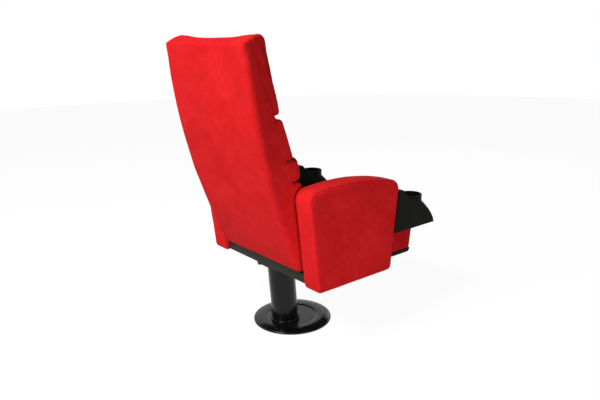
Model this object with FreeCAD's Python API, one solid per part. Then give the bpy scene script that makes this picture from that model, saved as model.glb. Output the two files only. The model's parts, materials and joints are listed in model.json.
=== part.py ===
import FreeCAD, Part
import math
import os

os.makedirs("parts", exist_ok=True)

# Frame: millimetres, +Z up, the sitter faces -Y and the sitter's left is +X.
# The origin is the centre of the round base's underside, on the floor.
# Every left-hand piece is modelled on +X and mirrored for the right-hand one.

# Round base
BASE_R = 158.0            # outside radius of the rolled cover rim
COVER_WALL = 2.0
RIM_ROUND = 5.0           # roll of the cover's rim
RIM_Z = 7.5               # top of the rolled rim
CROWN_Z = 11.0            # highest ring of the cover
DISH_MARGIN = 2.0         # flat dish beyond the column's collar
DISH_Z = 8.0
PLATE_INSET = 10.0        # floor plate inside the cover's rim
PLATE_T = 5.5
ANCHOR_PCD = 236.0
ANCHOR_R = 6.5
ANCHOR_COUNT = 4

# Column
COLUMN_R = 53.0
COLUMN_WALL = 5.0
COLUMN_FOOT_Y = 36.0      # the column stands behind the base's centre
COLUMN_LEAN = 4.0         # degrees rearwards
COLLAR_WALL = 5.0
COLLAR_H = 14.0
TOP_PLATE_T = 8.0
TOP_PLATE_W = 136.0
TOP_PLATE_BACKSET = 16.0  # its front edge behind the column's front

# Cross beam, a rectangular tube
BEAM_REAR_Y = 129.0
BEAM_DEPTH = 60.0
BEAM_BOTTOM_Z = 260.0
BEAM_H = 40.0
BEAM_WALL = 3.0
END_PLATE_T = 10.0

# Bolts: shank radius, head radius across corners, head height
M10 = (5.0, 9.2, 6.4)
M8 = (4.0, 7.5, 5.3)
HOLE_CLEAR = 0.25         # radial clearance of a bolt in a plain hole
SCREW_R = 3.0             # wood screws in the arms and the back
SCREW_HEAD_R = 6.0
SCREW_HEAD_H = 3.0
SCREW_DEPTH = 30.0        # into the arm's core

# Arms, one upholstered panel on each side
ARM_SPACING = 597.0       # centre to centre
ARM_T = 85.0
ARM_BOTTOM_Z = 254.0
ARM_FRONT_Y = -218.0      # front edge at the bottom
ARM_REAR_Y = 144.0        # rear edge at the bottom
ARM_TOP_REAR = (183.0, 620.5)
ARM_PEAK_Y = -31.0
ARM_TOP_FRONT = (-258.0, 586.0)
ARM_ARCH_R = 880.0
ARM_ARCH_RUNOUT = 6.0     # straight run between the arch and the rear corner's round
ARM_REAR_R = 40.0
ARM_NOSE_R = 30.0
ARM_FOOT_R = 14.5
ARM_EDGE_R = 13.0         # soft rounding of the panel's edges
SKIN_IN = 6.0             # padding on the inner face
PAD = 16.0                # padding round the core
STANDARD_T = 5.0
STANDARD_INSET = 20.0
SCREW_INSET = 60.0        # core screws to the arm's edges
SCREW_RISE = 150.0        # height of the lower rear one above the arm's bottom
CORE_T = 58.0
SOFT_GAP = 0.3            # padding clear of what it is fitted over

# Seat hinge
PIVOT_Y = -40.0
PIVOT_Z = 345.0
PIN_R = 8.0
PIN_CLEAR = 0.05
BUSH_R = 11.0
BUSH_FLANGE_R = 15.0
BUSH_FLANGE_T = 1.5
BOSS_R = 17.0
EYE_R = 28.0              # hinge plate left round the pivot inside the stop slot
CAM_R = 52.0              # outside radius of the hinge plate's stop cam
TIP_RANGE = 66.0          # degrees that the seat tips up
STOP_AT = 50.0            # direction of the stop pin from the pivot, degrees above +Y
STOP_RADIUS = 40.0        # distance of the stop pin from the pivot
STOP_PIN_R = 5.0
BUFFER_R = 8.0
STOP_GAP = 0.3

# Seat
SEAT_SIDE_GAP = 13.0      # seat's side to the arm's inner face
SEAT_BOTTOM_Z = 246.0
SEAT_FRONT_Y = -436.0     # front edge at the bottom
SEAT_NOSE = (-468.0, 447.0)
SEAT_REAR_TOP_Z = 430.0
SEAT_NOSE_R = 50.0
SEAT_SWING_GAP = 3.5      # its rear edge to the back as it tips
SEAT_SPLIT_Z = 263.0      # cushion above, pan below
SEAT_CROWN = 7.0
SEAT_EDGE_R = 18.0
HINGE_PLATE_T = 6.0
HINGE_GAP = 1.0           # hinge plate to the cushion's side
PAN_INSET = 3.0
PAN_WALL = 3.0
PAN_EDGE_R = 3.0
PAN_BOSS_R = 8.0
PAN_SCREW_R = 2.5
PAN_SCREW_HEAD_R = 4.6
PAN_SCREW_INSET = 60.0    # front ones to the seat's front
HINGE_BOLT_AHEAD = 70.0   # rear hinge bolt ahead of the pivot
HINGE_BOLT_PITCH = 65.0
HINGE_ARM_HALF = 20.0     # half the height of the plate's arm
SPACER_R = 9.0
RAIL_W = 20.0
RAIL_RISE = 15.0          # rail's top above the pivot
RAIL_END = 25.0           # frame's front to the seat's front
RAIL_H = 45.0
RAIL_WALL = 2.0
RAIL_INSET = 15.0         # rail to the cushion's side
STRAP_W = 50.0
STRAP_T = 2.0
STRAP_COUNT = 4

# Back: the rear face is one arc seen from the side
BACK_HALF_W = 250.0
BACK_SWELL = 11.0         # extra half width at the shoulders
BACK_SWELL_Z = 560.0
BACK_REAR_LOW = (155.0, 311.0)
BACK_TOP_DEPTH = 29.3     # thickness at the top, front to back
BACK_TOP_DROP = 21.0      # rear top edge below the front one
BACK_BOW = 37.0
BACK_FRONT_LOW = (76.0, 322.0)
BACK_FRONT_LEAN = 17.6
BACK_TOP_FRONT_Z = 1125.0
BACK_EDGE_R = 20.0
BOARD_DEPTH = 15.0        # board behind this much padding
BOARD_T = 12.0
BOARD_SIDE = 24.0         # board's edge to the side of the back
UPRIGHT_T = 18.0
UPRIGHT_W = 40.0
UPRIGHT_X = 150.0
UPRIGHT_TOP_Z = 900.0
UPRIGHT_SCREW_DROPS = (40.0, 260.0, 470.0)   # below the upright's top
FOOT_T = 6.0
FOOT_W = 84.0

# Back cushions: name, bottom, top, thickness at the bottom and at the top, bulge
CUSHIONS = (
    ("lower_back_cushion", 424.0, 640.0, 36.4, 36.9, 3.0),
    ("lumbar_cushion", 646.0, 718.0, 29.8, 40.6, 8.5),
    ("upper_back_cushion", 724.0, 864.0, 30.5, 27.9, 1.0),
    ("headrest_cushion", 876.0, BACK_TOP_FRONT_Z + 2.0, 25.7, 54.3, 1.0),
)
CUSHION_DISH = 18.0       # the middle lies behind the side bolsters
CUSHION_BOLSTER = 35.0
CUSHION_END_R = 13.0
CUSHION_EDGE_R = 10.0

# Cup holders
CUP_X = 297.0
CUP_Y = -364.0
CUP_RIM_Z = 515.0
CUP_LIP_Z = 491.0
CUP_R = 45.0
CUP_BORE_R = 40.5
CUP_FLOOR_Z = 401.0
CUP_BOTTOM_Z = 393.0
CUP_HALF_W = 42.0
CUP_TIP = 68.0            # the skirt's tip stands this far ahead of the ring
CUP_WALL = 3.0
CUP_HUMP_Z = 555.0
CUP_GAP = 0.4

# Places that follow from the sizes above
PLATE_R = BASE_R - PLATE_INSET
DISH_R = COLUMN_FOOT_Y + COLUMN_R + COLLAR_WALL + DISH_MARGIN
ARM_IN = (ARM_SPACING - ARM_T) / 2
ARM_OUT = ARM_IN + ARM_T
STANDARD_X = ARM_IN + SKIN_IN
CORE_X = STANDARD_X + STANDARD_T
SEAT_HALF = ARM_IN - SEAT_SIDE_GAP
HINGE_X = SEAT_HALF + HINGE_GAP
HINGE_OUT = HINGE_X + HINGE_PLATE_T
BOSS_IN = HINGE_OUT + BUSH_FLANGE_T + 0.5
BEAM_TOP_Z = BEAM_BOTTOM_Z + BEAM_H
BEAM_Y = BEAM_REAR_Y - BEAM_DEPTH / 2
SEAT_REAR_Y = PIVOT_Y + PIVOT_Z - SEAT_BOTTOM_Z
RAIL_X = SEAT_HALF - RAIL_INSET
RAIL_TOP_Z = PIVOT_Z + RAIL_RISE
RAIL_BOTTOM_Z = RAIL_TOP_Z - RAIL_H
COLUMN_TOP_Z = BEAM_BOTTOM_Z - TOP_PLATE_T


def vec(x, y, z):
    return FreeCAD.Vector(x, y, z)


def box(x0, x1, y0, y1, z0, z1):
    return Part.makeBox(x1 - x0, y1 - y0, z1 - z0, vec(x0, y0, z0))


def rod(x0, x1, y, z, r):
    """A round bar along X."""
    return Part.makeCylinder(r, x1 - x0, vec(x0, y, z), vec(1, 0, 0))


def post(x, y, z0, z1, r):
    """A round bar along Z."""
    return Part.makeCylinder(r, z1 - z0, vec(x, y, z0))


def hex_head(centre, axis, r, height):
    """A hexagon head that grows from centre along axis."""
    turn = FreeCAD.Rotation(vec(0, 0, 1), axis)
    corners = [centre + turn.multVec(vec(r * math.cos(a), r * math.sin(a), 0))
               for a in (math.radians(60 * i) for i in range(7))]
    return Part.Face(Part.makePolygon(corners)).extrude(axis * height)


def bolt(centre, axis, length, size):
    """A hexagon bolt: the shank runs from centre against axis, the head along it."""
    shank_r, head_r, head_h = size
    shank = Part.makeCylinder(shank_r, length, centre, axis * -1)
    return hex_head(centre, axis, head_r, head_h).fuse(shank)


def nut(centre, axis, size):
    """A hexagon nut that grows from centre along axis."""
    shank_r, head_r, head_h = size
    body = hex_head(centre, axis, head_r, head_h)
    return body.cut(Part.makeCylinder(shank_r, head_h, centre, axis))


def countersunk(centre, axis, length, r):
    """A countersunk screw with its flat head at centre and its shank along axis."""
    head = Part.makeCone(2 * r, r, r, centre, axis)
    return head.fuse(Part.makeCylinder(r, length, centre, axis))


def inset_corners(corners, inset):
    """The corners of a convex outline, anticlockwise, after its sides move inwards."""
    count = len(corners)
    sides = []
    for i in range(count):
        (a0, b0), (a1, b1) = corners[i], corners[(i + 1) % count]
        length = math.hypot(a1 - a0, b1 - b0)
        da, db = (a1 - a0) / length, (b1 - b0) / length
        sides.append((a0 - db * inset, b0 + da * inset, da, db))
    moved = []
    for i in range(count):
        a0, b0, da0, db0 = sides[i - 1]
        a1, b1, da1, db1 = sides[i]
        t = ((a1 - a0) * db1 - (b1 - b0) * da1) / (da0 * db1 - db0 * da1)
        moved.append((a0 + t * da0, b0 + t * db0))
    return moved


def rounded(points, radii):
    """A closed wire of lines and tangent arcs through the corners of an outline."""
    count = len(points)
    marks = []
    for i, (p, r) in enumerate(zip(points, radii)):
        back = (points[i - 1] - p).normalize()
        ahead = (points[(i + 1) % count] - p).normalize()
        half = back.getAngle(ahead) / 2
        reach = r / math.tan(half)
        middle = p + (back + ahead).normalize() * (r / math.sin(half) - r)
        marks.append((p + back * reach, middle, p + ahead * reach))
    edges = []
    for i, (start, middle, end) in enumerate(marks):
        if radii[i]:
            edges.append(Part.Arc(start, middle, end).toShape())
        edges.append(Part.LineSegment(end, marks[(i + 1) % count][0]).toShape())
    return Part.Wire(edges)


def side_wire(x, corners, radii, inset=0.0):
    """A rounded outline in the plane at x; corners are (y, z), anticlockwise."""
    moved = inset_corners(corners, inset)
    shrunk = [max(r - inset, 2.0) if r else 0.0 for r in radii]
    return rounded([vec(x, y, z) for y, z in moved], shrunk)


def side_prism(x0, x1, corners, radii, inset=0.0):
    return Part.Face(side_wire(x0, corners, radii, inset)).extrude(vec(x1 - x0, 0, 0))


def quarter_round(r):
    """Steps inwards from a face, and how far the outline is drawn in there."""
    middle = r * (1 - math.cos(math.pi / 4))
    return ((0.0, r), (middle, middle), (r, 0.0))


def mirrored(shape):
    return shape.mirror(vec(0, 0, 0), vec(1, 0, 0))


# Base and column

def base_plate():
    plate = post(0, 0, 0, PLATE_T, PLATE_R)
    plate = plate.makeChamfer(1.5, [e for e in plate.Edges if e.Curve.TypeId == "Part::GeomCircle"
                                    and e.BoundBox.ZMin > 1])
    for i in range(ANCHOR_COUNT):
        a = math.radians(45 + 360 / ANCHOR_COUNT * i)
        x, y = ANCHOR_PCD / 2 * math.cos(a), ANCHOR_PCD / 2 * math.sin(a)
        plate = plate.cut(post(x, y, -1, PLATE_T + 1, ANCHOR_R))
    return plate


def column_axis():
    lean = math.radians(COLUMN_LEAN)
    return vec(0, COLUMN_FOOT_Y, PLATE_T), vec(0, math.sin(lean), math.cos(lean))


def leaning_bar(r, z0, z1):
    """A bar on the column's axis, cut level at both ends."""
    foot, axis = column_axis()
    reach = 2 * BASE_R + z1
    long_bar = Part.makeCylinder(r, 2 * reach, foot - axis * reach, axis)
    return long_bar.common(box(-reach, reach, -reach, reach, z0, z1))


def base_cover():
    """A spun cover: rolled rim, low crown and a flat dish round the column."""
    def profile(drop):
        rim = BASE_R - drop
        top, crown, dish = RIM_Z - drop, CROWN_Z - drop, DISH_Z - drop
        roll = RIM_ROUND - drop / 2
        corner = math.sqrt(0.5) * roll
        shoulder_r = DISH_R + 12
        return (
            Part.LineSegment(vec(rim, 0, 0), vec(rim, 0, top - roll)),
            Part.Arc(vec(rim, 0, top - roll), vec(rim - roll + corner, 0, top - roll + corner),
                     vec(rim - roll, 0, top)),
            Part.Arc(vec(rim - roll, 0, top), vec((rim + shoulder_r) / 2, 0, (top + crown) / 2 + 1.5),
                     vec(shoulder_r, 0, crown)),
            Part.Arc(vec(shoulder_r, 0, crown), vec(DISH_R + 5, 0, (3 * crown + dish) / 4),
                     vec(DISH_R, 0, dish)),
            Part.LineSegment(vec(DISH_R, 0, dish), vec(0, 0, dish)),
            Part.LineSegment(vec(0, 0, dish), vec(0, 0, 0)),
            Part.LineSegment(vec(0, 0, 0), vec(rim, 0, 0)),
        )
    turns = []
    for drop in (0.0, COVER_WALL):
        face = Part.Face(Part.Wire([line.toShape() for line in profile(drop)]))
        turns.append(face.revolve(vec(0, 0, 0), vec(0, 0, 1), 360))
    shell = turns[0].cut(turns[1])
    return shell.cut(leaning_bar(COLUMN_R + 1, 0, CROWN_Z))


def foot_collar():
    """A ring square to the column, cut level where it sits on the cover."""
    foot, axis = column_axis()
    ring = Part.makeCylinder(COLUMN_R + COLLAR_WALL, COLLAR_H, foot, axis)
    upper = [e for e in ring.Edges if e.Closed and e.CenterOfMass.z > foot.z + COLLAR_H / 2]
    ring = ring.makeFillet(2.5, upper)
    ring = ring.cut(Part.makeCylinder(COLUMN_R, COLLAR_H, foot, axis))
    return ring.cut(box(-BASE_R, BASE_R, -BASE_R, BASE_R, 0, DISH_Z))


def column():
    return leaning_bar(COLUMN_R, PLATE_T, COLUMN_TOP_Z).cut(
        leaning_bar(COLUMN_R - COLUMN_WALL, PLATE_T, COLUMN_TOP_Z))


def top_bolt_places():
    """Bolts beside the column, up into the beam's floor."""
    rows = (BEAM_REAR_Y - BEAM_DEPTH + 22, BEAM_REAR_Y - 15)
    side = TOP_PLATE_W / 2 - 14
    return [(x, y) for x in (-side, side) for y in rows]


def top_plate():
    front = COLUMN_FOOT_Y + math.tan(math.radians(COLUMN_LEAN)) * (COLUMN_TOP_Z - PLATE_T)
    front -= COLUMN_R - TOP_PLATE_BACKSET
    plate = box(-TOP_PLATE_W / 2, TOP_PLATE_W / 2, front, BEAM_REAR_Y - 6,
                COLUMN_TOP_Z, BEAM_BOTTOM_Z)
    plate = plate.makeFillet(10, [e for e in plate.Edges if e.BoundBox.ZLength > TOP_PLATE_T - 1])
    for x, y in top_bolt_places():
        plate = plate.cut(post(x, y, COLUMN_TOP_Z, BEAM_BOTTOM_Z, M10[0] + HOLE_CLEAR))
    return plate


def beam_bolts():
    length = TOP_PLATE_T + BEAM_WALL + M10[2] + 4
    return Part.makeCompound([bolt(vec(x, y, COLUMN_TOP_Z), vec(0, 0, -1), length, M10)
                              for x, y in top_bolt_places()])


def beam_nuts():
    """Nuts on the tube's floor, and those under its roof for the back's feet."""
    up, down = vec(0, 0, 1), vec(0, 0, -1)
    low = [nut(vec(x, y, BEAM_BOTTOM_Z + BEAM_WALL), up, M10) for x, y in top_bolt_places()]
    high = [nut(vec(x, y, BEAM_TOP_Z - BEAM_WALL), down, M8) for x, y in foot_bolt_places()]
    return Part.makeCompound(low + high)


# Cross beam

def end_bolt_places():
    """Three bolts through each end plate, clear of the tube."""
    front = BEAM_REAR_Y - BEAM_DEPTH
    return ((front - 12, BEAM_BOTTOM_Z + 14), (front - 12, BEAM_TOP_Z + 12),
            (BEAM_REAR_Y - 14, BEAM_TOP_Z + 12))


def end_plate(x0, x1, grow):
    """The plate's outline, grown for the notch in the arm's padding."""
    plate = box(x0, x1, BEAM_REAR_Y - BEAM_DEPTH - 24 - grow, BEAM_REAR_Y + grow,
                BEAM_BOTTOM_Z - grow, BEAM_TOP_Z + 24 + grow)
    return plate.makeFillet(6, [e for e in plate.Edges if e.BoundBox.XLength > x1 - x0 - 0.1])


def cross_beam():
    """A tube with a tapped plate welded on each end."""
    plate_x = STANDARD_X - END_PLATE_T
    front = BEAM_REAR_Y - BEAM_DEPTH
    tube = box(-plate_x, plate_x, front, BEAM_REAR_Y, BEAM_BOTTOM_Z, BEAM_TOP_Z)
    tube = tube.makeFillet(5, [e for e in tube.Edges if e.BoundBox.XLength > plate_x])
    bore = box(-plate_x, plate_x, front + BEAM_WALL, BEAM_REAR_Y - BEAM_WALL,
               BEAM_BOTTOM_Z + BEAM_WALL, BEAM_TOP_Z - BEAM_WALL)
    beam = tube.cut(bore)
    for x, y in top_bolt_places():
        beam = beam.cut(post(x, y, BEAM_BOTTOM_Z, BEAM_BOTTOM_Z + BEAM_WALL,
                             M10[0] + HOLE_CLEAR))
    for x, y in foot_bolt_places():
        beam = beam.cut(post(x, y, BEAM_TOP_Z - BEAM_WALL, BEAM_TOP_Z, M8[0] + HOLE_CLEAR))
    for low, high in ((plate_x, STANDARD_X), (-STANDARD_X, -plate_x)):
        plate = end_plate(low, high, 0)
        for y, z in end_bolt_places():
            plate = plate.cut(rod(low, high, y, z, M8[0]))
        beam = beam.fuse(plate)
    return beam.removeSplitter()


# Arms, left-hand side

def arm_peak():
    """Where the tangents of the arch meet: the flatter the arch, the lower."""
    (y0, z0), (y1, z1) = ARM_TOP_FRONT, ARM_TOP_REAR
    front, rear = ARM_PEAK_Y - y0, y1 - ARM_PEAK_Y
    run = min(front, rear) - max(ARM_REAR_R, ARM_NOSE_R) - ARM_ARCH_RUNOUT
    chord_z = z0 + (z1 - z0) * front / (front + rear)
    return ARM_PEAK_Y, chord_z + 2 * run / ARM_ARCH_R * front * rear / (front + rear)


ARM_CORNERS = ((ARM_FRONT_Y, ARM_BOTTOM_Z), (ARM_REAR_Y, ARM_BOTTOM_Z),
               ARM_TOP_REAR, arm_peak(), ARM_TOP_FRONT)
ARM_RADII = (ARM_FOOT_R, ARM_FOOT_R, ARM_REAR_R, ARM_ARCH_R, ARM_NOSE_R)


def stop_place():
    a = math.radians(STOP_AT)
    return PIVOT_Y + STOP_RADIUS * math.cos(a), PIVOT_Z + STOP_RADIUS * math.sin(a)


def core_screw_places():
    front, rear = ARM_FRONT_Y + SCREW_INSET, ARM_REAR_Y - SCREW_INSET
    return ((front, ARM_BOTTOM_Z + SCREW_INSET), (rear, ARM_BOTTOM_Z + SCREW_RISE),
            (front, ARM_TOP_FRONT[1] - SCREW_INSET), (rear, ARM_TOP_REAR[1] - SCREW_INSET))


def side_standard():
    """Steel plate inside the arm, with the welded boss that holds the pivot pin."""
    plate = side_prism(STANDARD_X, CORE_X, ARM_CORNERS, ARM_RADII, STANDARD_INSET)
    foot = box(STANDARD_X, CORE_X, BEAM_REAR_Y - BEAM_DEPTH - 34, ARM_REAR_Y - 8,
               ARM_BOTTOM_Z + 2, ARM_BOTTOM_Z + 90)
    plate = plate.fuse(foot).fuse(rod(BOSS_IN, STANDARD_X, PIVOT_Y, PIVOT_Z, BOSS_R))
    plate = plate.cut(rod(BOSS_IN, CORE_X, PIVOT_Y, PIVOT_Z, PIN_R))
    plate = plate.cut(rod(STANDARD_X, CORE_X, *stop_place(), STOP_PIN_R))
    for y, z in end_bolt_places():
        plate = plate.cut(rod(STANDARD_X, CORE_X, y, z, M8[0] + HOLE_CLEAR))
    for y, z in core_screw_places():
        plate = plate.cut(countersunk(vec(STANDARD_X, y, z), vec(1, 0, 0), STANDARD_T, SCREW_R))
    return plate.removeSplitter()


def arm_core():
    """Timber core that the padding is pulled over."""
    core = side_prism(CORE_X, CORE_X + CORE_T, ARM_CORNERS, ARM_RADII, PAD)
    foot = box(CORE_X, CORE_X + CORE_T, ARM_FRONT_Y + PAD, ARM_REAR_Y - PAD,
               ARM_BOTTOM_Z + 2, ARM_BOTTOM_Z + 60)
    core = core.fuse(foot).removeSplitter()
    core = core.cut(rod(CORE_X, CORE_X + 6, PIVOT_Y, PIVOT_Z, PIN_R + 7))
    core = core.cut(rod(CORE_X, CORE_X + 6, *stop_place(), STOP_PIN_R + 5))
    for y, z in end_bolt_places():
        core = core.cut(rod(CORE_X, CORE_X + M8[2] + 1, y, z, M8[1] + 2))
    for y, z in core_screw_places():
        core = core.cut(rod(CORE_X, CORE_X + SCREW_DEPTH, y, z, SCREW_R))
    for z in CUP_SCREW_Z:
        core = core.cut(cup_screw(z))
    return core


def arm_cover():
    """Foam and cloth round the core; its bottom stays open."""
    panel = side_prism(ARM_IN, ARM_OUT, ARM_CORNERS, ARM_RADII)
    rims = [e for e in panel.Edges if e.BoundBox.XLength < 0.01]
    panel = panel.makeFillet(ARM_EDGE_R, rims)
    hollow = side_prism(STANDARD_X - SOFT_GAP, CORE_X + CORE_T + SOFT_GAP,
                        ARM_CORNERS, ARM_RADII, PAD - SOFT_GAP)
    mouth = box(STANDARD_X - SOFT_GAP, CORE_X + CORE_T + SOFT_GAP,
                ARM_FRONT_Y + PAD - SOFT_GAP, ARM_REAR_Y - 8 + SOFT_GAP,
                ARM_BOTTOM_Z - 1, ARM_BOTTOM_Z + 91)
    cover = panel.cut(hollow.fuse(mouth))
    cover = cover.cut(end_plate(ARM_IN - 1, STANDARD_X, 0.5))
    cover = cover.cut(rod(ARM_IN - 1, STANDARD_X, PIVOT_Y, PIVOT_Z, BOSS_R + 1))
    cover = cover.cut(rod(ARM_IN - 1, STANDARD_X, *stop_place(), STOP_PIN_R + 1))
    for z in CUP_SCREW_Z:
        cover = cover.cut(cup_screw(z, SOFT_GAP))
    return cover


def end_bolts():
    length = STANDARD_T + END_PLATE_T
    return Part.makeCompound([bolt(vec(CORE_X, y, z), vec(1, 0, 0), length, M8)
                              for y, z in end_bolt_places()])


def core_screws():
    length = STANDARD_T + SCREW_DEPTH
    return Part.makeCompound([countersunk(vec(STANDARD_X, y, z), vec(1, 0, 0), length, SCREW_R)
                              for y, z in core_screw_places()])


def pivot_pin():
    """Headed pin, a tight fit in the standard's boss; the seat turns on its free end."""
    head = rod(CORE_X, CORE_X + 4, PIVOT_Y, PIVOT_Z, PIN_R + 5)
    pin = rod(RAIL_X + 2, CORE_X, PIVOT_Y, PIVOT_Z, PIN_R).fuse(head)
    tips = [e for e in pin.Edges if e.BoundBox.XMax < RAIL_X + 2.1]
    return pin.makeChamfer(1, tips)


def stop_pin():
    head = rod(CORE_X, CORE_X + 4, *stop_place(), STOP_PIN_R + 3)
    return rod(HINGE_X + 0.5, CORE_X, *stop_place(), STOP_PIN_R).fuse(head)


def stop_buffer():
    """Rubber sleeve that takes the knock at both ends of the seat's travel."""
    sleeve = rod(HINGE_X + 0.5, ARM_IN - 1, *stop_place(), BUFFER_R)
    return sleeve.cut(rod(HINGE_X + 0.5, ARM_IN - 1, *stop_place(), STOP_PIN_R))


# Seat

def seat_rear_round():
    """Radius of the top rear edge that lets it swing past the back's lower edge."""
    swing = math.hypot(BACK_FRONT_LOW[0] - PIVOT_Y, BACK_FRONT_LOW[1] - PIVOT_Z) - SEAT_SWING_GAP
    y, z = SEAT_REAR_Y - PIVOT_Y, SEAT_REAR_TOP_Z + SEAT_CROWN - PIVOT_Z
    over = y + z - swing
    return over - math.sqrt(over ** 2 - y ** 2 - z ** 2 + swing ** 2)


SEAT_CORNERS = ((SEAT_FRONT_Y, SEAT_BOTTOM_Z), (SEAT_REAR_Y, SEAT_BOTTOM_Z),
                (SEAT_REAR_Y, SEAT_REAR_TOP_Z), SEAT_NOSE)
SEAT_RADII = (14.0, PIVOT_Z - SEAT_BOTTOM_Z, seat_rear_round(), SEAT_NOSE_R)


def seat_wire(x, inset, crown):
    """The seat's side outline at x, lower at its sides than on the middle line."""
    corners = inset_corners(SEAT_CORNERS, inset)
    lifted = [(y, z) for y, z in corners[:2]] + [(y, z + crown) for y, z in corners[2:]]
    radii = [max(r - inset, 4.0) for r in SEAT_RADII]
    return rounded([vec(x, y, z) for y, z in lifted], radii)


def seat_cushion():
    """Crowned foam and cloth, drawn in at its sides and hollow for the frame."""
    stations = []
    for step, inset in quarter_round(SEAT_EDGE_R):
        stations.append((SEAT_HALF - step, inset, 0.0))
    edge = SEAT_HALF - SEAT_EDGE_R
    for share in (0.67, 0.33, 0.0):
        stations.append((edge * share, 0.0, SEAT_CROWN * (1 - share * share)))
    left = [seat_wire(x, inset, crown) for x, inset, crown in stations]
    right = [seat_wire(-x, inset, crown) for x, inset, crown in stations[-2::-1]]
    cushion = Part.makeLoft(left + right, True, False)
    cushion = cushion.common(box(-ARM_IN, ARM_IN, SEAT_NOSE[0] - 20, SEAT_REAR_Y + 20,
                                 SEAT_SPLIT_Z, SEAT_NOSE[1] + 40))
    hollow = side_prism(-RAIL_X - 4, RAIL_X + 4, SEAT_CORNERS, SEAT_RADII, 15.0)
    hollow = hollow.common(box(-ARM_IN, ARM_IN, SEAT_NOSE[0], SEAT_REAR_Y,
                               SEAT_BOTTOM_Z, RAIL_TOP_Z + STRAP_T + SOFT_GAP))
    cushion = cushion.cut(hollow)
    for x0, x1 in ((RAIL_X, HINGE_X), (-HINGE_X, -RAIL_X)):
        cushion = cushion.cut(rod(x0, x1, PIVOT_Y, PIVOT_Z, BUSH_R + 4 + SOFT_GAP))
        for y in hinge_bolt_ys():
            cushion = cushion.cut(rod(x0, x1, y, HINGE_BOLT_Z, SPACER_R + SOFT_GAP))
    return cushion


def seat_pan():
    """Moulded tray that closes the seat's underside."""
    x = SEAT_HALF - PAN_INSET
    keep = box(-x, x, SEAT_NOSE[0], SEAT_REAR_Y, SEAT_BOTTOM_Z - 1, SEAT_SPLIT_Z)
    outer = side_prism(-x, x, SEAT_CORNERS, SEAT_RADII, 0.0).common(keep)
    outer = outer.makeFillet(PAN_EDGE_R, [
        e for e in outer.Edges if e.BoundBox.XLength < 0.01 and e.BoundBox.ZMax < SEAT_SPLIT_Z - 1
        and e.BoundBox.YLength > PIVOT_Z - SEAT_BOTTOM_Z])
    inner = side_prism(-x + PAN_WALL, x - PAN_WALL, SEAT_CORNERS, SEAT_RADII, PAN_WALL)
    pan = outer.cut(inner.common(keep))
    for bx, by in pan_screw_places():
        pan = pan.fuse(post(bx, by, SEAT_BOTTOM_Z + 1, RAIL_BOTTOM_Z, PAN_BOSS_R))
    for bx, by in pan_screw_places():
        pan = pan.cut(post(bx, by, SEAT_BOTTOM_Z - 1, RAIL_BOTTOM_Z, PAN_SCREW_R))
        pan = pan.cut(post(bx, by, SEAT_BOTTOM_Z - 1, SEAT_BOTTOM_Z + 4, PAN_SCREW_HEAD_R + 0.4))
    return pan


def pan_screw_places():
    x = RAIL_X - RAIL_W / 2
    rows = (SEAT_FRONT_Y + PAN_SCREW_INSET, PIVOT_Y - HINGE_BOLT_AHEAD)
    return [(side * x, y) for side in (-1, 1) for y in rows]


def pan_screws():
    """Screws up through the pan's bosses into the side rails."""
    screws = []
    for x, y in pan_screw_places():
        head = post(x, y, SEAT_BOTTOM_Z + 1, SEAT_BOTTOM_Z + 4, PAN_SCREW_HEAD_R)
        shank = post(x, y, SEAT_BOTTOM_Z + 4, RAIL_BOTTOM_Z + RAIL_WALL, PAN_SCREW_R)
        screws.append(head.fuse(shank))
    return Part.makeCompound(screws)


HINGE_BOLT_Z = PIVOT_Z - 8.0


def hinge_bolt_ys():
    return PIVOT_Y - HINGE_BOLT_AHEAD, PIVOT_Y - HINGE_BOLT_AHEAD - HINGE_BOLT_PITCH


def seat_frame():
    """Welded frame: two side rails, two cross rails and the pivot housings."""
    front, rear = SEAT_FRONT_Y + RAIL_END, SEAT_REAR_Y - RAIL_END - 14
    parts = []
    for side in (-1, 1):
        low, high = sorted((side * RAIL_X, side * (RAIL_X - RAIL_W)))
        rail = box(low, high, front, rear, RAIL_BOTTOM_Z, RAIL_TOP_Z)
        rail = rail.cut(box(low + RAIL_WALL, high - RAIL_WALL, front - 1, rear + 1,
                            RAIL_BOTTOM_Z + RAIL_WALL, RAIL_TOP_Z - RAIL_WALL))
        low, high = sorted((side * RAIL_X, side * HINGE_X))
        housing = rod(low, high, PIVOT_Y, PIVOT_Z, BUSH_R + 4)
        parts += [rail, housing]
        for y in hinge_bolt_ys():
            parts.append(rod(low, high, y, HINGE_BOLT_Z, SPACER_R))
    inner = RAIL_X - RAIL_W
    for y0, y1 in ((front, front + RAIL_W), (rear - RAIL_W, rear)):
        parts.append(box(-inner, inner, y0, y1, RAIL_TOP_Z - 30, RAIL_TOP_Z))
    frame = parts[0].fuse(parts[1:])
    for side in (-1, 1):
        low, high = sorted((side * (RAIL_X - RAIL_W), side * HINGE_X))
        frame = frame.cut(rod(*sorted((side * RAIL_X, side * HINGE_X)), PIVOT_Y, PIVOT_Z, BUSH_R))
        for y in hinge_bolt_ys():
            frame = frame.cut(rod(low, high, y, HINGE_BOLT_Z, M8[0]))
    for x, y in pan_screw_places():
        frame = frame.cut(post(x, y, RAIL_BOTTOM_Z, RAIL_BOTTOM_Z + RAIL_WALL, PAN_SCREW_R))
    return frame.removeSplitter()


def seat_straps():
    """Elastic webbing over the side rails, under the foam."""
    front = SEAT_FRONT_Y + RAIL_END + 2 * RAIL_W
    rear = SEAT_REAR_Y - RAIL_END - 14 - 2 * RAIL_W
    pitch = (rear - front - STRAP_W) / (STRAP_COUNT - 1)
    return Part.makeCompound([
        box(-RAIL_X, RAIL_X, front + i * pitch, front + i * pitch + STRAP_W,
            RAIL_TOP_Z, RAIL_TOP_Z + STRAP_T) for i in range(STRAP_COUNT)])


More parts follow.
